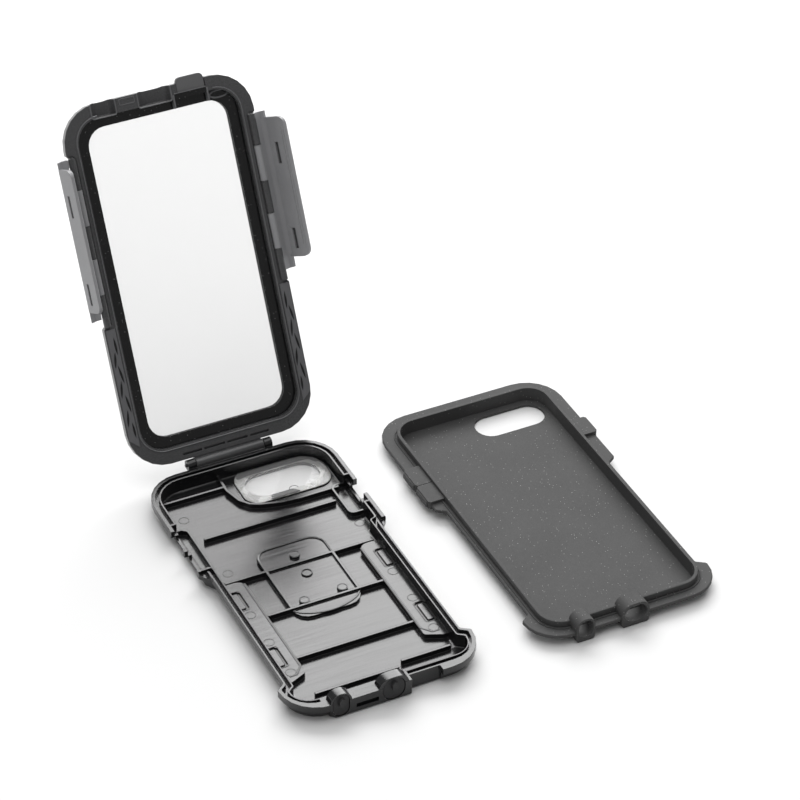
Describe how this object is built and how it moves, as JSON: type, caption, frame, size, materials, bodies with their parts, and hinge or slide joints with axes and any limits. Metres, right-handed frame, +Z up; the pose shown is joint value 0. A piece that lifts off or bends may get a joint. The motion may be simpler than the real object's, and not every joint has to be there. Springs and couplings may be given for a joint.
{
  "type": "waterproof phone case",
  "caption": "Hinged hard case for a phone, with a clear window lid, two side latches and a soft liner that seals it, shown open beside its liner.",
  "frame": {"origin": "middle of the tray's underside, where the case rests", "axes": "+Z up out of the tray, +X across the case towards the right latch, +Y along the case towards the hinge"},
  "size_m": [0.2212, 0.2642, 0.1704],
  "materials": {
    "shell": "glossy moulded black",
    "lid": "semi-gloss moulded black",
    "latch": "satin moulded black",
    "window": "clear polycarbonate",
    "window_border": "glossy black seal",
    "bond": "grey bonding border",
    "plug_rubber": "matte black rubber",
    "liner": "matte dark grey silicone",
    "pin": "dark steel pin"
  },
  "bodies": {
    "tray": {"rear_tray": "shell", "camera_pane": "window", "camera_pane_bond": "bond", "hinge_pin": "pin", "liner": "liner"},
    "lid": {"lid_frame": "lid", "lid_window": "window", "window_seal": "window_border", "lid_tab": "plug_rubber", "left_latch_pin": "pin", "right_latch_pin": "pin"},
    "left_latch": {"left_latch": "latch"},
    "right_latch": {"right_latch": "latch"},
    "headphone_plug": {"headphone_plug": "plug_rubber"},
    "charging_plug": {"charging_plug": "plug_rubber"}
  },
  "joints": [
    {"name": "lid_hinge", "type": "hinge", "parent": "tray", "child": "lid", "pos_m": [0, 0.091, 0.009], "axis": [-1, 0, 0], "range_deg": [-115.8, 0]},
    {"name": "left_latch_hinge", "type": "hinge", "parent": "lid", "child": "left_latch", "pos_m": [-0.045, 0.14079, 0.11222], "axis": [0, -0.4352, -0.9003], "range_deg": [-80, 50]},
    {"name": "right_latch_hinge", "type": "hinge", "parent": "lid", "child": "right_latch", "pos_m": [0.045, 0.14079, 0.11222], "axis": [0, 0.4352, 0.9003], "range_deg": [-118, 12]},
    {"name": "headphone_plug_pull", "type": "slide", "parent": "tray", "child": "headphone_plug", "axis": [0, -1, 0], "range_m": [0, 0.008]},
    {"name": "charging_plug_pull", "type": "slide", "parent": "tray", "child": "charging_plug", "axis": [0, -1, 0], "range_m": [0, 0.008]}
  ]
}
